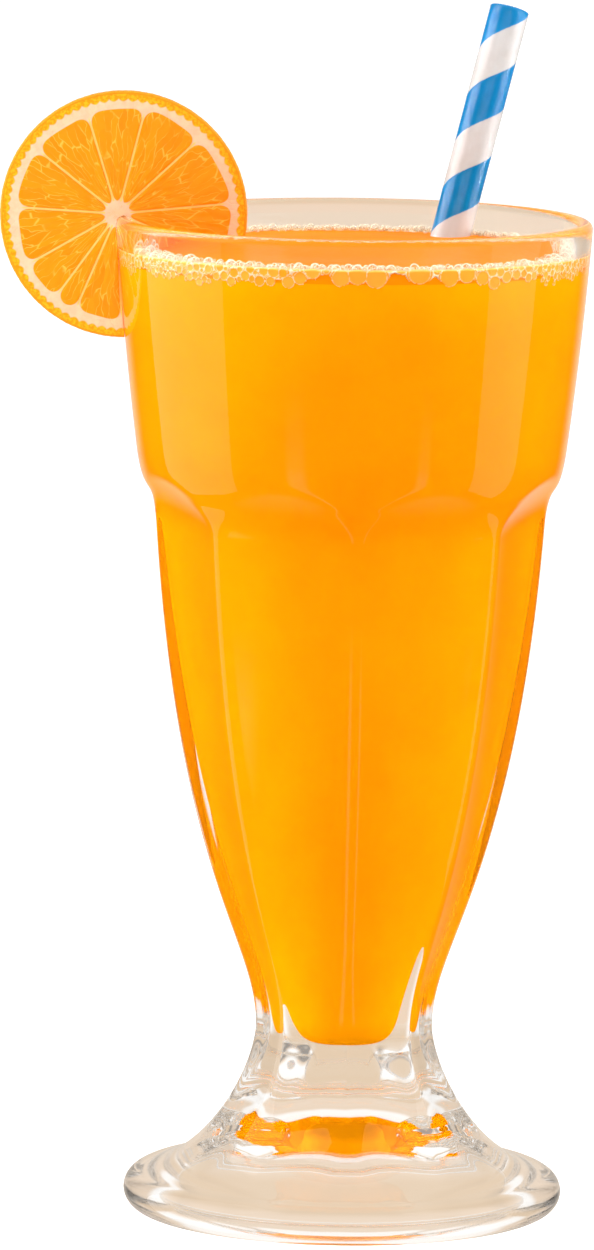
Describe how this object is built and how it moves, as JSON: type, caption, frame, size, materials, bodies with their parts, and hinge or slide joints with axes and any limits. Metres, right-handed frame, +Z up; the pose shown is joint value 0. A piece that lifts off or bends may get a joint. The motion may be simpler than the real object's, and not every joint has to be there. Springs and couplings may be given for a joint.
{
  "type": "glass of orange juice",
  "caption": "Footed, fluted soda glass full of orange juice, with froth at the level, an orange slice on the rim and a striped paper straw.",
  "frame": {"origin": "middle of the foot's flat contact ring, on the surface the glass stands on", "axes": "+Z up along the glass; the slice hangs over the rim at -X and faces -Y, which is the front; the straw leans towards +X and +Y"},
  "size_m": [0.118, 0.0963, 0.2402],
  "materials": {
    "clear_glass": "clear pressed glass, fire-polished",
    "juice": "cloudy orange juice",
    "froth": "pale bubbles on the juice",
    "striped_paper": "white paper wound with a blue stripe",
    "orange": "moist pulp, pale pith and bright rind"
  },
  "bodies": {
    "root": {"glass": "clear_glass", "juice": "juice", "froth": "froth", "straw": "striped_paper", "orange_slice": "orange"}
  },
  "joints": []
}
